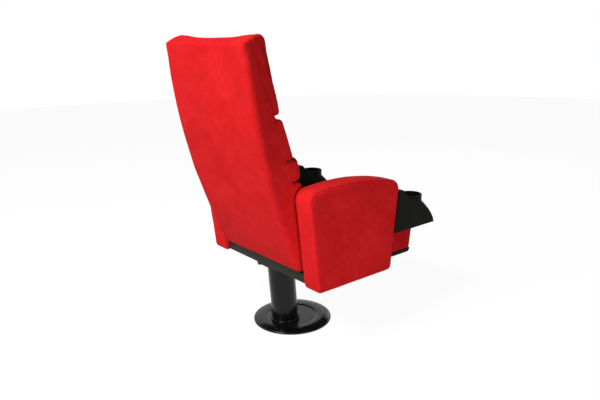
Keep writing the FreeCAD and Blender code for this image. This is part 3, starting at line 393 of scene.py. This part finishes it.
def inflate(piece, cap, held):
    """Air pressure from inside puffs the skin by at most cap; held(point, normal) pins it."""
    mesh = piece.data
    rest = [v.co.copy() for v in mesh.vertices]
    pins = piece.vertex_groups.new(name="pins")
    for v in mesh.vertices:
        pins.add([v.index], held(v.co, v.normal), "REPLACE")
    skin = piece.modifiers.new("skin", "CLOTH")
    skin.settings.quality = 5
    skin.settings.mass = 0.3
    skin.settings.tension_stiffness = 15
    skin.settings.compression_stiffness = 15
    skin.settings.shear_stiffness = 8
    skin.settings.bending_stiffness = 1.5
    skin.settings.use_pressure = True
    skin.settings.uniform_pressure_force = PRESSURE
    skin.settings.effector_weights.gravity = 0
    skin.settings.vertex_group_mass = pins.name
    skin.point_cache.frame_start = 1
    skin.point_cache.frame_end = 20
    scene = bpy.context.scene
    for step in range(1, 21):
        scene.frame_set(step)
    seen = piece.evaluated_get(bpy.context.evaluated_depsgraph_get())
    puffed = [v.co.copy() for v in seen.data.vertices]
    piece.modifiers.remove(skin)
    piece.vertex_groups.remove(pins)
    for v, old, new in zip(mesh.vertices, rest, puffed):
        move = new - old
        if move.length > cap:
            move *= cap / move.length
        v.co = old + move
    mesh.update()


def tree_of(lines):
    """A search tree over points set about 2 mm apart along several lines."""
    dense = []
    for line in lines:
        for a, b in zip(line, line[1:]):
            parts = max(1, int((b - a).length / 0.002))
            dense += [a.lerp(b, k / parts) for k in range(parts)]
        dense.append(line[-1])
    tree = KDTree(len(dense))
    for i, p in enumerate(dense):
        tree.insert(p, i)
    tree.balance()
    return tree


def sew(piece, lines, depth, width):
    """A sewn seam: the cloth dips along the lines, with a low shoulder beside them."""
    tree = tree_of(lines)

    def dip(p, n):
        d = tree.find(p)[2] / width
        if d > 4:
            return p
        return p - n * depth * (math.exp(-d * d) - 0.22 * math.exp(-(d - 2.0) ** 2))
    reshape(piece, dip)


def ripple(piece, height, size, seed):
    """Slow unevenness of hand-pulled cloth."""
    shift = Vector((seed * 1.7, seed * 2.3, seed * 3.1))
    reshape(piece, lambda p, n: p + n * height * noise.noise(p / size + shift))


def finer(piece):
    grid = piece.modifiers.new("finer", "SUBSURF")
    grid.levels = 1
    grid.render_levels = 1
    apply_all(piece)


def finish_soft(piece, body, replaced):
    """An upholstered piece takes the cloth and the place of the model's own."""
    for face in piece.data.polygons:
        face.use_smooth = True
    dress(piece, cloth)
    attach(piece, body)
    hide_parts(*replaced)


def mirror_x(piece, name):
    """The same piece on the other side, turned inside out by the mirror and set right."""
    twin = add(name, piece.data.copy())
    twin.data.transform(Matrix.Scale(-1, 4, (1, 0, 0)))
    twin.data.flip_normals()
    return twin


# Arms: padded panels with a band all round and a sewn edge along the top of each face

def arm_panel():
    outline = corner_arcs(ARM_CORNERS, ARM_RADII, 10)
    panel = prism("arm_panel_left", outline, ARM_IN, ARM_OUT, 0.010)
    remesh(panel, GRID, 3)

    def held(p, n):
        if p.z < ARM_CORNERS[0][1] + 0.012:
            return 1.0
        return 1.0 if abs(n.x) < 0.85 and abs(n.x) > 0.55 else 0.15
    inflate(panel, 0.0045, held)
    reshape(panel, lambda p, n: Vector((max(p.x, 0.2545), p.y, p.z)))
    finer(panel)
    seams = []
    inset = corner_arcs(ARM_CORNERS, ARM_RADII, 24)
    centre = Vector((sum(p.x for p in inset) / len(inset), sum(p.y for p in inset) / len(inset)))
    for x in (ARM_IN + 0.002, ARM_OUT - 0.002):
        line = []
        for p in (q for q in inset if q.y > SEAM_LOW_Z):
            inward = (centre - p).normalized() * SEAM_INSET
            line.append(Vector((x, p.x + inward.x, p.y + inward.y)))
        seams.append(line)
    sew(panel, seams, SEAM_DEPTH, SEAM_WIDTH)
    ripple(panel, 0.0010, 0.075, 1.0)
    return panel


arm_left = arm_panel()
arm_right = mirror_x(arm_left, "arm_panel_right")
for panel, side in ((arm_left, "left"), (arm_right, "right")):
    finish_soft(panel, "stand", ["arm_cover_" + side])


# Back: the padded slab behind the cushions

def rear_y(z):
    (y0, z0), (y1, z1) = BACK_REAR_LOW, BACK_REAR_TOP
    chord = math.hypot(y1 - y0, z1 - z0)
    r = chord * chord / (8 * BACK_BOW) + BACK_BOW / 2
    centre_y = (y0 + y1) / 2 - (z1 - z0) / chord * (r - BACK_BOW)
    centre_z = (z0 + z1) / 2 + (y1 - y0) / chord * (r - BACK_BOW)
    return centre_y + math.sqrt(r * r - (z - centre_z) ** 2)


def front_y(z):
    return BACK_FRONT_LOW[0] + (z - BACK_FRONT_LOW[1]) * math.tan(BACK_FRONT_LEAN)


def back_half(z):
    """Half the back's width at a height: a little wider at the shoulders."""
    t = (z - SWELL_LOW) / (SWELL_TOP - SWELL_LOW)
    return BACK_HALF + BACK_SWELL * max(0.0, 4 * t * (1 - t))


def smooth(value, low, high):
    t = min(max((value - low) / (high - low), 0.0), 1.0)
    return t * t * (3 - 2 * t)


def back_shell():
    """Rings from bottom to top, rounded at the rear corners, joined and closed."""
    shape = bmesh.new()
    rings = []
    for k in range(81):
        t = k / 80
        zf = BACK_FRONT_LOW[1] + (SLAB_TOP_Z - BACK_FRONT_LOW[1]) * t
        zr = BACK_REAR_LOW[1] + (BACK_REAR_TOP[1] - BACK_REAR_LOW[1]) * t
        yf, yr = front_y(zf), rear_y(zr)
        half, r = back_half(zr), 0.021 - 0.009 * smooth(t, 0.93, 1.0)
        deep = yr - yf
        flat = [(-half, 0.0), (-half, deep - r)]
        for i in range(1, 7):
            a = math.pi / 2 * i / 6
            flat.append((-half + r * (1 - math.cos(a)), deep - r + r * math.sin(a)))
        flat += [(x * (half - r), deep) for x in (-0.75, -0.5, -0.25)]
        flat += [(0.0, deep)] + [(-x, d) for x, d in reversed(flat)]
        ring = []
        for x, d in flat:
            share = d / deep
            sag = 0.005 * smooth(t, 0.8, 1.0) * (1 - (x / half) ** 2)
            ring.append(shape.verts.new((x, yf + d, zf + (zr - zf) * share - sag)))
        rings.append(ring)
    for low, high in zip(rings, rings[1:]):
        for i in range(len(low)):
            j = (i + 1) % len(low)
            shape.faces.new((low[i], low[j], high[j], high[i]))
    shape.faces.new(rings[0])
    shape.faces.new(rings[-1])
    bmesh.ops.recalc_face_normals(shape, faces=shape.faces)
    mesh = bpy.data.meshes.new("back_shell")
    shape.to_mesh(mesh)
    shape.free()
    shell = add("back_shell", mesh)
    remesh(shell, GRID, 3)

    def fill(p, n):
        across = max(0.0, 1 - (p.x / BACK_HALF) ** 2)
        up = max(0.0, 1 - ((p.z - 0.72) / 0.42) ** 2)
        return p + Vector((0, 0.0035, 0)) * max(n.y, 0.0) * across * up
    reshape(shell, fill)
    ripple(shell, 0.0016, 0.13, 2.0)
    ripple(shell, 0.0007, 0.045, 5.0)
    return shell


shell = back_shell()
finish_soft(shell, "stand", ["back_cover"])


# Back cushions: node, piece, bottom, top, rise of the top towards the front,
# thickness at the bottom and the top, radius of the top front edge, bulge, swelling
CUSHIONS = (
    ("lower_back_cushion", "back_pad_lower", 0.424, 0.640, 0.0, 0.0364, 0.0369, 0.013, 0.003, 0.006),
    ("lumbar_cushion", "back_pad_lumbar", 0.646, 0.718, 0.0, 0.0298, 0.0406, 0.013, 0.0085, 0.004),
    ("upper_back_cushion", "back_pad_upper", 0.724, 0.864, 0.0, 0.0305, 0.0279, 0.013, 0.001, 0.005),
    ("headrest_cushion", "back_pad_head", 0.876, 1.120, 0.0265, 0.0257, 0.056, 0.026, 0.001, 0.005),
)


def back_cushion(name, low, high, rise, thick_low, thick_high, top_r, bulge, cap, seed):
    """A pad between its side bolsters, sunk a little into the slab behind it."""
    outline = corner_arcs(((front_y(low) - thick_low, low), (front_y(low) + SUNK, low),
                           (front_y(high) + SUNK, high - rise * SUNK / thick_high),
                           (front_y(high) - thick_high, high + rise)), (0.013, 0.0, 0.0, top_r), 8)
    pad = prism(name, outline, -BACK_HALF, BACK_HALF, 0.010)
    remesh(pad, GRID, 3)

    def shape_front(p, n):
        thick = thick_low + (thick_high - thick_low) * (p.z - low) / (high - low)
        ahead = min(max((front_y(p.z) - p.y) / thick, 0.0), 1.0)
        t = 2 * (p.z - low) / (high - low) - 1
        p.y -= bulge * ahead * max(0.0, 1 - t * t)
        p.y += DISH * ahead * smooth(1 - (p.x / DISH_HALF) ** 2, -0.1, 1.0)
        if rise:
            p.z -= TOP_SAG * smooth(p.z, 1.03, 1.115) * smooth(1 - (p.x / DISH_HALF) ** 2, 0.0, 1.0)
        p.x *= back_half(p.z) / BACK_HALF
        return p
    reshape(pad, shape_front)

    def held(p, n):
        gap = front_y(p.z) - p.y
        return 1.0 if gap < 0.006 else (0.9 if gap < 0.014 else 0.0)
    inflate(pad, cap, held)

    def keep_room(p, n):
        side = back_half(p.z)
        p.x = min(max(p.x, -side), side)
        p.z = min(max(p.z, low - 0.002), high + rise + 0.002)
        return p
    reshape(pad, keep_room)
    finer(pad)
    ripple(pad, 0.0009, 0.06, seed)
    return pad


for seed, (node, *sizes) in enumerate(CUSHIONS):
    finish_soft(back_cushion(*sizes, 3.0 + seed), "stand", [node])


# Seat cushion

def seat_pad():
    outline = corner_arcs(SEAT_CORNERS, SEAT_RADII, 10)
    pad = prism("seat_pad", outline, -SEAT_HALF, SEAT_HALF, 0.016)
    shape = bmesh.new()
    shape.from_mesh(pad.data)
    every = list(shape.verts) + list(shape.edges) + list(shape.faces)
    cut = bmesh.ops.bisect_plane(shape, geom=every,
                                 plane_co=(0, 0, SEAT_SPLIT_Z), plane_no=(0, 0, 1), clear_inner=True)
    rim = [e for e in cut["geom_cut"] if isinstance(e, bmesh.types.BMEdge)]
    bmesh.ops.contextual_create(shape, geom=rim)
    bmesh.ops.recalc_face_normals(shape, faces=shape.faces)
    shape.to_mesh(pad.data)
    shape.free()
    remesh(pad, SEAT_GRID, 4)

    def crown(p, n):
        if n.z > 0:
            across = max(0.0, 1 - (p.x / SEAT_HALF) ** 2)
            p.z += 0.006 * n.z * across
        return p
    reshape(pad, crown)

    def held(p, n):
        if p.z < SEAT_SPLIT_Z + 0.010 or n.y > 0.6:
            return 1.0
        return 1.0 if p.y > 0.0 else 0.1
    inflate(pad, 0.006, held)

    def keep_room(p, n):
        p.x = min(max(p.x, -SEAT_HALF), SEAT_HALF)
        p.z = max(p.z, SEAT_SPLIT_Z)
        return p
    reshape(pad, keep_room)
    finer(pad)
    ripple(pad, 0.0009, 0.07, 9.0)
    reshape(pad, keep_room)
    return pad


seat = seat_pad()
finish_soft(seat, "seat", ["seat_cushion"])


# Cup holders' rolled lips

def lip(name, side):
    """A rolled ring on the holder's rim."""
    shape = bmesh.new()
    section = [(0.0402, 0.5100), (0.0456, 0.5100), (0.0462, 0.5145), (0.0456, 0.5168),
               (0.0440, 0.5178), (0.0418, 0.5176), (0.0405, 0.5164)]
    rings = []
    for k in range(72):
        a = 2 * math.pi * k / 72
        rings.append([shape.verts.new((side * CUP_X + r * math.cos(a), CUP_Y + r * math.sin(a), z))
                      for r, z in section])
    for k in range(72):
        here, there = rings[k], rings[(k + 1) % 72]
        for i in range(len(section)):
            j = (i + 1) % len(section)
            shape.faces.new((here[i], there[i], there[j], here[j]))
    bmesh.ops.recalc_face_normals(shape, faces=shape.faces)
    mesh = bpy.data.meshes.new(name)
    shape.to_mesh(mesh)
    shape.free()
    ring = add(name, mesh)
    finer(ring)
    for face in ring.data.polygons:
        face.use_smooth = True
    dress(ring, holder_black)
    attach(ring, "stand")


lip("cup_lip_left", 1)
lip("cup_lip_right", -1)


# Camera, light and floor

AZIMUTH, PITCH, ROLL = 4.035898, 0.270337, -0.019216
back_axis = Vector((math.sin(AZIMUTH) * math.cos(PITCH), -math.cos(AZIMUTH) * math.cos(PITCH),
                    math.sin(PITCH)))
right_axis = Vector((math.cos(AZIMUTH), math.sin(AZIMUTH), 0))
up_axis = back_axis.cross(right_axis)
rolled_right = right_axis * math.cos(ROLL) + up_axis * math.sin(ROLL)
rolled_up = up_axis * math.cos(ROLL) - right_axis * math.sin(ROLL)
camera_data = bpy.data.cameras.new("camera")
camera_data.sensor_width = 36.0
camera_data.lens = 606.36 / 600 * 36.0
camera = bpy.data.objects.new("camera", camera_data)
bpy.context.scene.collection.objects.link(camera)
turn = Matrix((rolled_right, rolled_up, back_axis)).transposed().to_4x4()
camera.matrix_world = Matrix.Translation((-1.80944, 1.40102, 1.13295)) @ turn
bpy.context.scene.camera = camera


def softbox(name, place, target, size, power, spread=180):
    lamp = bpy.data.lights.new(name, "AREA")
    lamp.shape = "RECTANGLE"
    lamp.size, lamp.size_y = size
    lamp.energy = power
    lamp.spread = math.radians(spread)
    box = bpy.data.objects.new(name, lamp)
    bpy.context.scene.collection.objects.link(box)
    aim = Vector(target) - Vector(place)
    box.matrix_world = Matrix.Translation(place) @ aim.to_track_quat("-Z", "Y").to_matrix().to_4x4()


softbox("key", (-0.35, 3.0, 3.2), (0, 0.1, 0.55), (1.6, 1.4), 170)
softbox("side", (-1.9, 0.35, 0.25), (-0.341, -0.05, 0.42), (0.5, 0.5), 1.15, 60)
softbox("front", (1.2, -3.0, 2.2), (0, 0, 0.6), (2.0, 2.0), 15)

world = bpy.data.worlds.new("studio")
bpy.context.scene.world = world
world.use_nodes = True
sky = world.node_tree
sky.nodes.clear()
rays = sky.nodes.new("ShaderNodeLightPath")
plain = sky.nodes.new("ShaderNodeBackground")
plain.inputs["Color"].default_value = tone(1.0, 1.0, 1.0)
plain.inputs["Strength"].default_value = 0.16
bright = sky.nodes.new("ShaderNodeBackground")
bright.inputs["Color"].default_value = tone(1.0, 1.0, 1.0)
bright.inputs["Strength"].default_value = 1.0
seen = sky.nodes.new("ShaderNodeMath")
seen.operation = "MAXIMUM"
sky.links.new(rays.outputs["Is Camera Ray"], seen.inputs[0])
sky.links.new(rays.outputs["Is Glossy Ray"], seen.inputs[1])
seen_too = sky.nodes.new("ShaderNodeMath")
seen_too.operation = "MAXIMUM"
sky.links.new(seen.outputs[0], seen_too.inputs[0])
sky.links.new(rays.outputs["Is Transmission Ray"], seen_too.inputs[1])
choice = sky.nodes.new("ShaderNodeMixShader")
sky.links.new(seen_too.outputs[0], choice.inputs[0])
sky.links.new(plain.outputs[0], choice.inputs[1])
sky.links.new(bright.outputs[0], choice.inputs[2])
leave = sky.nodes.new("ShaderNodeOutputWorld")
sky.links.new(choice.outputs[0], leave.inputs["Surface"])

bpy.ops.mesh.primitive_circle_add(vertices=96, radius=9.0, fill_type="NGON", location=(0, 0, -0.0005))
floor = bpy.context.object
floor.name = "floor"
f = Finish("floor")
paper = f.node("ShaderNodeBsdfDiffuse", {}, {"Color": tone(0.50, 0.50, 0.50)})
glow = f.node("ShaderNodeEmission", {}, {"Color": tone(1.0, 1.0, 1.0), "Strength": 1.17})
path = f.node("ShaderNodeLightPath", {}, {}, output="Is Camera Ray")
mirrored_ray = f.node("ShaderNodeLightPath", {}, {}, output="Is Glossy Ray")
share = path * 0.80 + mirrored_ray * 0.80
blended = f.node("ShaderNodeMixShader", {}, {0: share, 1: paper, 2: glow})
end = f.tree.nodes.new("ShaderNodeOutputMaterial")
f.tree.links.new(blended.socket, end.inputs["Surface"])
dress(floor, f.material)

bpy.context.scene.view_settings.view_transform = "Standard"
